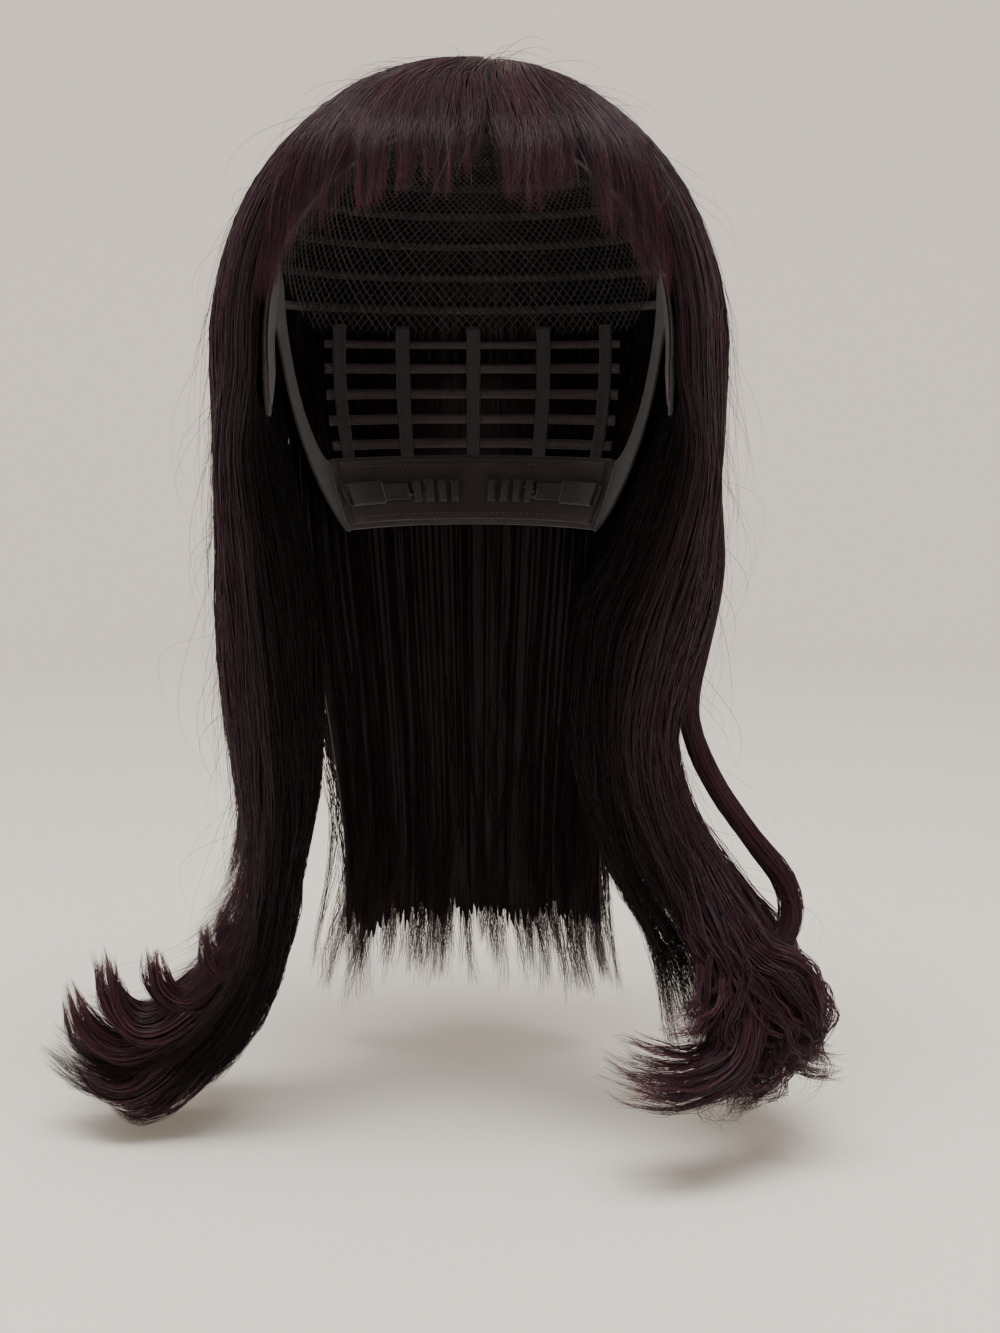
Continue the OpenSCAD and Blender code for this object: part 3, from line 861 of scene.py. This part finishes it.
def crownCore():
    cols, rows = 240, 26
    u = np.arange(cols) * 360 / cols - 180
    low = mix(41, 62, easeIn((np.abs(u) - 60) / 20)) + 2 * roughRow(cols, 4)
    t = np.linspace(0, 1, rows)[:, None]
    v = 0.8 + (low[None] - 0.8) * t
    swirl = whorl(u[None], v)
    thin = 1 - 0.75 * easeIn((t - 0.7) / 0.3)
    top = (0.72 + underLook["ridge"] * roughRow(cols, 4)[None]) * thin
    under = 0.22 + 0 * top
    top = np.maximum(top, under + 0.06)
    underHair("crownUnderHair", inHair(swirl, v, top), inHair(swirl, v, under), ["crown_hair"], closed=True)


def hangFrom(side):
    # where a lock's hair passes from the cap to the swinging lock
    body = "left_lock" if side > 0 else "right_lock"
    x = side * 0.08
    return {"from": "cap", "to": body, "start": (x, 0.006, -0.022), "end": (x, 0.006, -0.090)}


sideHair = {"strands": 2300, "thick": (0.17, 0.26), "groups": 70, "pull": 0.55, "wave": 95, "waver": 2.2}


def strandPieces(name, order, count, paths, width, tone, depth, nodes, blend, inner=False):
    # builds strands as a few pieces of equal size
    for k, part in enumerate(np.array_split(order, count)):
        obj = buildStrands(f"{name}_{k + 1}", paths[part], width[part], tone[part], depth=depth[part])
        finishHair(obj, "cap", nodes, blend, inner)


def makeSide(name, side, stations, nodes, ends):
    look = sideHair
    n = look["strands"]
    deep, thick = sectionPlaces(n)
    root = mix(0.8, 40.0, rng.random(n) ** 1.6)
    paths = sidePaths(side, stations, deep, thick, root)
    cells = np.stack([deep, thick], 1)
    seeds = cells[rng.choice(n, look["groups"], replace=False)]
    group = np.argmin(((cells[:, None] - seeds[None]) ** 2).sum(2), 1)
    paths, keep = ends(paths, thick, group)
    paths = clump(paths, group, look["pull"], 2.2)
    paths = waver(paths, group, look["waver"], look["wave"], 1.2)
    paths = cutShort(paths, keep)
    tone = np.clip(0.55 * rng.random(look["groups"])[group] + 0.45 * rng.random(n), 0, 1)
    width = rng.uniform(*look["thick"], n)
    depth = np.clip(0.435 - 0.9 * thick, 0, 1) * 0.9  # painted shade, more of it towards the inside of the hair
    order = np.argsort(group, kind="stable")
    # the strands with most painted shade take the darker shaded finish
    inside = depth[order] >= 0.5
    shape = (paths, width, tone, depth, nodes, hangFrom(side))
    strandPieces(name, order[~inside], 2, *shape)
    strandPieces(f"{name}Inner", order[inside], 2, *shape, inner=True)


def flipEnds(paths, thick, group):
    # the upper strands of the flip end sooner, with their tips turned up in tufts
    n = len(paths)
    level = np.clip((thick + 1) / 2, 0, 1)
    groups = group.max() + 1
    jitter = rng.uniform(-0.04, 0.03, groups)[group]
    keep = np.clip(mix(1.0, 0.84, easeIn((level - 0.35) / 0.65)) + jitter, 0.7, 1)
    keep -= 0.05 * rng.random(n) ** 2
    t = np.linspace(0, 1, paths.shape[1])[None]
    up = easeIn((t / keep[:, None] - 0.86) / 0.14) ** 1.4
    turn = rng.uniform(0.3, 1.0, groups)[group]
    paths = paths.copy()
    paths[..., 2] += up * (mix(-4.0, 13.0, level) * turn)[:, None]
    paths[..., 0] -= up * (mix(2.0, 5.0, level) * turn)[:, None]
    return paths, keep


def messyEnds(paths, thick, group):
    # the ends of this lock curl loosely in different directions
    n, count, _ = paths.shape
    groups = group.max() + 1
    keep = np.clip(rng.uniform(0.88, 1.0, groups)[group] - 0.06 * rng.random(n) ** 2, 0.7, 1)
    t = np.linspace(0, 1, count)[None]
    loose = easeIn((t - 0.72) / 0.28)[..., None] ** 1.3
    paths = paths + loose * rng.normal(0, 1, (groups, 3))[group][:, None] * [11.0, 8.0, 5.0]
    frizz = easeIn((t - 0.66) / 0.34)[..., None]
    wave = np.sin(t[..., None] * 60 + rng.uniform(0, 6.28, (n, 1, 3)))
    paths = paths + frizz * wave * rng.exponential(0.9, (n, 1, 1))
    return paths, keep


rightNodes = ["side_hair_right", "lock_right"]
leftNodes = ["side_hair_left", "lock_left_main"]
makeSide("rightSideHair", -1, rightLock, rightNodes, flipEnds)
makeSide("leftSideHair", 1, leftLock, leftNodes, messyEnds)
lockCore("rightUnderHair", -1, rightLock, 0.86, rightNodes, hangFrom(-1))
lockCore("leftUnderHair", 1, leftLock, 0.88, leftNodes, hangFrom(1))


# the loose pieces of the left lock
looseLook = {"thick": (0.15, 0.23), "fillThick": (0.7, 1.1), "flat": 1.3}


def looseLock(name, keys, spread, n, body, nodes, count=26, blend=None, pull=0.5, wave=1.0, late=0.22,
        crimp=55):
    # strands round one path, with thicker ones in its middle that carry painted shade; spread is the half
    # width at each key
    keys = np.array(keys, float)
    spread = np.array(spread, float)[None, :, None]
    run, first = directions(keys)
    second = np.cross(run, first)
    fill = n // 12
    total = n + fill
    angle = rng.uniform(0, 2 * np.pi, total)
    reach = np.sqrt(rng.random(total))
    reach[n:] *= 0.6
    a, b = (reach * np.cos(angle))[:, None, None], (reach * np.sin(angle))[:, None, None]
    paths = keys[None] + a * first[None] * spread + b * second[None] * spread * looseLook["flat"]
    paths = smoothPath(paths, count)
    groups = max(6, n // 12)
    seeds = rng.uniform(-1, 1, (groups, 2))
    spots = np.stack([a.ravel(), b.ravel()], 1)
    group = np.argmin(((spots[:, None] - seeds[None]) ** 2).sum(2), 1)
    paths = clump(paths, group, pull, 1.8)
    paths = waver(paths, group, wave, crimp, 1.5)
    keep = 1 - 0.10 * rng.random(groups)[group] - 0.12 * rng.random(total) ** 1.5
    keep[n:] -= 0.18
    paths = cutShort(paths, keep, late * rng.random(total) ** 0.7)
    width = rng.uniform(*looseLook["thick"], total)
    width[n:] = rng.uniform(*looseLook["fillThick"], fill)
    # painted shade, more towards the middle of the lock and most on the thick middle strands
    depth = np.where(np.arange(total) < n, 0.35 * (1 - reach), 0.75)
    tone = np.clip(0.25 + 0.45 * rng.random(groups)[group] + 0.3 * rng.random(total), 0, 1)
    finishHair(buildStrands(name, paths, width, tone, depth=depth), body, nodes, blend)


looseLock(
    "leftWaveLock",
    [(88, 2, -20), (92, 0, -60), (93, -2, -86), (88, -4, -114), (84.5, -4, -135), (88, -5, -152),
        (97, -7, -170), (110, -9, -188), (121, -11, -202), (125.5, -13, -214), (123, -16, -225),
        (113, -20, -234), (98, -24, -239), (84, -26, -241)],
    [5, 5, 5, 4.6, 4.2, 4, 4, 4.4, 4.6, 4.6, 4.8, 5.5, 6.5, 7.5],
    620, "cap", ["lock_left_wave"], count=36, blend=hangFrom(1), pull=0.12, wave=0.5, late=0.1)
looseLock(
    "leftFlick",
    [(84, -10, -176), (95, -20, -204), (103, -32, -228), (104, -44, -248), (98, -51, -261), (87, -55, -267),
        (74, -58, -268), (61, -60, -264), (50, -61, -258)],
    [4, 8, 9, 9, 10, 11, 12.5, 13, 12],
    700, "left_lock", ["lock_left_flick"], pull=0.5, wave=1.5, late=0.35)
looseLock(
    "leftTail",
    [(92, -6, -190), (107, -10, -218), (118, -13, -244), (125, -14, -264), (132, -14, -274),
        (141, -13, -278), (149, -12, -277)],
    [4, 8, 10, 10, 9, 8, 7],
    380, "left_lock", ["lock_left_tail"], pull=0.6, wave=1.8, late=0.4)

# curls at the end of the left lock, as points and the half width at each
curls = [
    ([(78, -12, -178), (92, -26, -205), (106, -36, -224), (123, -40, -236), (131, -38, -250),
        (124, -34, -264), (110, -34, -270)], 9),
    ([(76, -10, -172), (86, -26, -202), (96, -40, -226), (110, -44, -244), (124, -38, -258),
        (131, -30, -272), (127, -26, -284)], 9),
    ([(84, 6, -180), (100, 8, -210), (116, 4, -230), (128, 0, -246), (133, -4, -260), (128, -8, -273),
        (118, -12, -283)], 10),
    ([(74, -8, -170), (80, -18, -196), (88, -32, -218), (92, -44, -234), (86, -52, -246),
        (77, -54, -252), (69, -52, -250)], 7),
    ([(86, -14, -186), (98, -28, -212), (112, -34, -234), (120, -34, -254), (116, -34, -272),
        (105, -34, -284), (92, -34, -288)], 9),
    ([(90, 0, -196), (104, -12, -224), (112, -24, -246), (112, -30, -262), (104, -34, -276),
        (98, -30, -286), (104, -24, -292)], 12),
    ([(82, -14, -190), (94, -30, -216), (100, -42, -236), (96, -48, -252), (100, -46, -266),
        (112, -40, -274), (124, -34, -270)], 10)]
for k, (keys, wide) in enumerate(curls):
    spread = [wide * share for share in (0.5, 1, 1, 1, 0.9, 0.8, 0.8)]
    looseLock(f"leftCurl_{k + 1}", keys, spread, 280, "left_lock", ["lock_left_main"],
        count=30, pull=0.35, wave=3.2, late=0.45, crimp=34)

# the flip of the right lock opens in tufts that turn up at their tips
tufts = [
    ([(-79, -12, -204), (-86, -16, -226), (-94, -19, -239), (-101, -20, -235), (-103, -20, -217)], 5.5),
    ([(-79, 8, -202), (-84, 4, -224), (-92, 0, -236), (-98, -2, -231), (-98, -4, -215)], 5),
    ([(-83, -6, -216), (-94, -12, -240), (-108, -16, -253), (-120, -16, -247), (-124, -16, -228)], 7),
    ([(-87, 8, -222), (-100, 2, -246), (-116, -2, -257), (-127, -4, -249), (-128, -4, -233)], 6),
    ([(-93, -8, -233), (-108, -14, -254), (-126, -18, -263), (-139, -18, -253), (-142, -17, -231)], 8),
    ([(-97, 12, -237), (-114, 10, -257), (-132, 6, -266), (-147, 5, -255), (-150, 4, -236)], 7),
    ([(-99, -8, -239), (-117, -12, -262), (-137, -14, -272), (-152, -14, -262), (-159, -14, -243)], 8),
    ([(-103, 6, -247), (-122, 4, -271), (-142, 0, -280), (-156, -2, -271), (-162, -2, -253)], 9),
    ([(-103, -8, -251), (-118, -10, -276), (-135, -12, -288), (-149, -12, -286), (-159, -12, -275)], 9),
    ([(-97, 0, -245), (-107, -2, -275), (-120, -4, -293), (-134, -6, -301), (-148, -6, -297)], 9)]
for k, (keys, wide) in enumerate(tufts):
    spread = [wide * share for share in (0.6, 1, 0.9, 0.7, 0.35)]
    looseLock(f"rightTuft_{k + 1}", keys, spread, 230, "right_lock", ["lock_right"],
        count=22, pull=0.35, wave=1.2, late=0.4)


flyLook = {"hairs": 230, "crownHairs": 150, "thick": (0.06, 0.11), "stand": 11.0, "most": 26.0}


def strays(name, paths, nodes, blend=None):
    n = len(paths)
    width = rng.uniform(*flyLook["thick"], n)
    finishHair(buildStrands(name, paths, width, np.full(n, 0.6), taper=1.5), "cap", nodes, blend)


def flyaways():
    # single hairs that stand a little out of the outline, more of them low down
    look = flyLook
    for side, stations, word in ((-1, rightLock, "Right"), (1, leftLock, "Left")):
        n = look["hairs"]
        deep, thick = sectionPlaces(n, 0.05)
        thick = np.abs(thick) * 0.6 + 0.4
        paths = sidePaths(side, stations, deep, thick, mix(6.0, 50.0, rng.random(n)), 60)
        start = rng.uniform(0.15, 0.8, n)
        span = rng.uniform(0.06, 0.2, n)
        t = np.linspace(0, 1, 22)[None]
        paths = cutShort(paths, start + span, start, 22)
        out = np.stack([np.full(n, float(side)), rng.normal(0, 0.6, n), rng.normal(0.1, 0.5, n)], 1)
        stand = rng.exponential(0.6, n) * look["stand"] * (0.4 + start)
        arch = np.sin(t * math.pi * rng.uniform(0.5, 1.0, n)[:, None]) ** 1.2
        paths = paths + np.minimum(stand, look["most"])[:, None, None] * arch[..., None] * out[:, None]
        high = paths[:, :, 2].min(1) > -22
        nodes = [f"side_hair_{word.lower()}"]
        strays(f"strayTop{word}", paths[high], nodes)
        strays(f"strayLow{word}", paths[~high], nodes, hangFrom(side))
    n = look["crownHairs"]
    u, v = rng.uniform(-180, 180, n), rng.uniform(6, 60, n)
    t = np.linspace(0, 1, 16)[None]
    lean = rng.normal(0, 10, n)[:, None]
    share = 1.0 + 0.42 * rng.exponential(0.5, n)[:, None].clip(0, 1.6) * np.sin(t * math.pi * 0.8)
    paths = inHair(u[:, None] + lean * t, v[:, None] + rng.uniform(8, 24, n)[:, None] * t, share)
    strays("strayCrown", paths, ["crown_hair"])


flyaways()


backHair = {"strands": 3000, "thick": (0.18, 0.28), "groups": 80, "pull": 0.5, "wave": 110, "waver": 2.4}


def makeBack():
    look = backHair
    n = look["strands"]
    turn = rng.uniform(-59, 59, n)
    layer = np.where(rng.random(n) < 0.72, 1 - 0.3 * rng.random(n) ** 1.5, rng.random(n) * 0.7)
    root = mix(0.8, 40.0, rng.random(n) ** 1.6)
    groups = look["groups"]
    place = np.clip(((turn + 59) / 118 * groups / 2).astype(int), 0, groups // 2 - 1) * 2 + (layer > 0.8)
    drop = np.clip(rng.uniform(0.90, 1.0, groups)[place] - 0.07 * rng.random(n) ** 2, 0, 1)
    paths = backPaths(turn, layer, root, drop)
    paths = clump(paths, place, look["pull"], 2.5)
    paths = offTheCap(waver(paths, place, look["waver"], look["wave"], 1.3))
    tone = np.clip(0.5 * rng.random(groups)[place] + 0.5 * rng.random(n), 0, 1)
    # painted shade, more of it on the layers nearer the head
    paintedShadeShare = np.clip(0.9 - 1.2 * layer, 0, 1)
    width = rng.uniform(*look["thick"], n)
    loose = easeIn((np.linspace(0, 1, paths.shape[1])[None] - 0.78) / 0.22)[..., None] ** 1.4
    paths = paths + loose * rng.normal(0, 1, (groups, 3))[place][:, None] * [6.0, 4.0, 0.0]
    order = np.argsort(turn)
    # the inner layers take the darker shaded finish
    inside = layer[order] <= 0.62
    shape = (paths, width, tone, paintedShadeShare, backNodes, backHang)
    strandPieces("backHair", order[~inside], 3, *shape)
    strandPieces("backHairInner", order[inside], 1, *shape, inner=True)


makeBack()
backCore()
crownCore()


# the fringe's lower line, as turns from the face and angles down from the crown
fringeLine = [
    (-70, 84), (-61, 82), (-55, 77), (-50, 71), (-47, 66), (-43, 62), (-39, 67), (-36, 58), (-29, 62),
    (-25, 63), (-21, 60), (-17, 63), (-13, 54), (-9, 57), (-5, 61), (0, 55), (6, 49), (11, 60), (18, 64),
    (24, 60), (31, 55), (38, 68), (43, 62), (49, 77), (55, 77), (61, 80), (70, 84)]
# the turns that its wisps gather to
fringeTufts = [
    -66, -60, -55, -50, -46, -39, -29, -24, -17, -9, -5, 1, 12, 15, 18, 24, 31, 38, 41, 46, 49, 54, 60, 66]
fringeLook = {"strands": 4000, "wisps": 330, "thick": (0.08, 0.145), "reach": 69}


def makeFringe():
    look = fringeLook
    n, wisps = look["strands"], look["wisps"]
    tufts = np.array(fringeTufts, float)
    base = np.linspace(-look["reach"], look["reach"], wisps) + rng.normal(0, 0.6, wisps)
    near = tufts[np.argmin(np.abs(base[:, None] - tufts[None]), 1)]
    draw = rng.uniform(0.25, 0.85, wisps)
    wispTurn = base + (near - base) * draw + rng.normal(0, 1.2, wisps)
    line = np.array(fringeLine, float)
    wispTip = np.interp(wispTurn, line[:, 0], line[:, 1])
    wispTip = wispTip + rng.normal(2.4, 1.2, wisps) - rng.exponential(1.8, wisps)
    wispShare = rng.uniform(0.30, 0.68, wisps)
    wisp = rng.integers(0, wisps, n)
    start = base[wisp] + rng.normal(0, 1.6, n)
    tipTurn = wispTurn[wisp] + rng.normal(0, 0.35, n)
    tipV = wispTip[wisp] - rng.exponential(2.6, n)
    root = mix(0.8, 26.0, rng.random(n) ** 1.3)[:, None]
    layer = (1 - 0.7 * rng.random(n) ** 1.5)[:, None]
    t = np.linspace(0, 1, 11)[None]
    v = root + (tipV[:, None] - root) * t
    hang = np.minimum(47, tipV - 9)[:, None]
    u = mix(start[:, None], tipTurn[:, None], easeIn((v - hang + 4) / (tipV[:, None] - hang + 4)))
    full = mix(0.3, 1.0, layer)
    fall = easeIn((v - hang) / (tipV[:, None] - hang))
    share = mix(full * rise(root, v), wispShare[wisp][:, None] * full, fall)
    paths = smoothPath(inHair(whorl(u, v), v, share), 20)
    paths = clump(paths, wisp, rng.uniform(0.55, 0.95, n), 2.6)
    paths = waver(paths, wisp, 0.8, 40, 1.6)
    tone = np.clip(0.62 * rng.random(wisps)[wisp] + 0.42 * rng.random(n), 0, 1)
    # painted shade, more of it on the strands of the layers nearer the head
    paintedShadeShare = 0.85 * (1 - layer[:, 0])
    for k, part in enumerate(np.array_split(np.argsort(start), 4)):
        width = rng.uniform(*look["thick"], len(part))
        obj = buildStrands(f"fringe_{k + 1}", paths[part], width, tone[part], 2.0, paintedShadeShare[part])
        finishHair(obj, "cap", ["fringe_hair", "crown_hair"])


makeFringe()


# the camera, the light and the floor
view = {"place": (0.0115, -0.705, -0.010), "dip": 9.0, "angle": 40.0}
camData = bpy.data.cameras.new("camera")
camData.sensor_fit = "VERTICAL"
camData.angle = math.radians(view["angle"])
cam = bpy.data.objects.new("camera", camData)
cam.location = view["place"]
cam.rotation_euler = (math.radians(90 - view["dip"]), 0, 0)
bpy.context.scene.collection.objects.link(cam)
bpy.context.scene.camera = cam

room = {
    "paint": (0.76, 0.715, 0.665), "level": -0.312, "floor": 1.3, "bend": 0.8, "height": 3.2, "turns": 96,
    "air": (0.80, 0.78, 0.75), "airLight": 0.30}


def makeBackdrop():
    # a round pale floor that curves up into a wall on every side
    floor, bend, turns = room["floor"], room["bend"], room["turns"]
    curve = np.radians(np.linspace(0, 90, 21))
    out = np.concatenate([[0.00001, 0.5], floor + bend * np.sin(curve), [floor + bend]])[:, None]
    up = np.concatenate([[0, 0], bend * (1 - np.cos(curve)), [room["height"]]])[:, None] + room["level"]
    angle = 2 * np.pi * np.arange(turns) / turns
    points = np.stack([out * np.cos(angle), out * np.sin(angle), up + 0 * angle], -1)
    obj = meshOf("backdrop", points.reshape(-1, 3), [(gridFaces(len(out), turns, turns), 4)])
    mat, nodes, links, shader = newMaterial("palePaint")
    noise = addNode(nodes, "ShaderNodeTexNoise", Scale=5.0, Detail=4.0)
    stops = [(0.3, shadeOf(room["paint"], 0.98)), (0.7, room["paint"])]
    tint = ramp(nodes, links, noise.outputs["Fac"], stops)
    feed(links, shader, {"Base Color": tint, "Roughness": 0.8})
    obj.data.materials.append(mat)


makeBackdrop()


def softLight(name, place, aim, size, power, colour=(1, 1, 1)):
    data = bpy.data.lights.new(name, "AREA")
    data.shape = "RECTANGLE"
    data.size, data.size_y = size
    data.energy = power
    data.color = colour
    obj = bpy.data.objects.new(name, data)
    obj.location = place
    obj.rotation_euler = (Vector(aim) - Vector(place)).to_track_quat("-Z", "Y").to_euler()
    bpy.context.scene.collection.objects.link(obj)


softLight("overhead", (0.0, -0.45, 1.5), (0, 0, 0), (1.5, 0.7), 54, (1, 0.985, 0.96))
softLight("front", (0.0, -1.7, 0.9), (0, 0, -0.1), (1.6, 0.8), 4)
softLight("wallWash", (0, 0.9, 1.9), (0, 2.0, 0.3), (2.4, 0.6), 8, (1, 0.985, 0.96))
world = bpy.data.worlds.new("studio")
bpy.context.scene.world = world
world.use_nodes = True
air = world.node_tree.nodes["Background"]
air.inputs["Color"].default_value = (*room["air"], 1)
air.inputs["Strength"].default_value = room["airLight"]
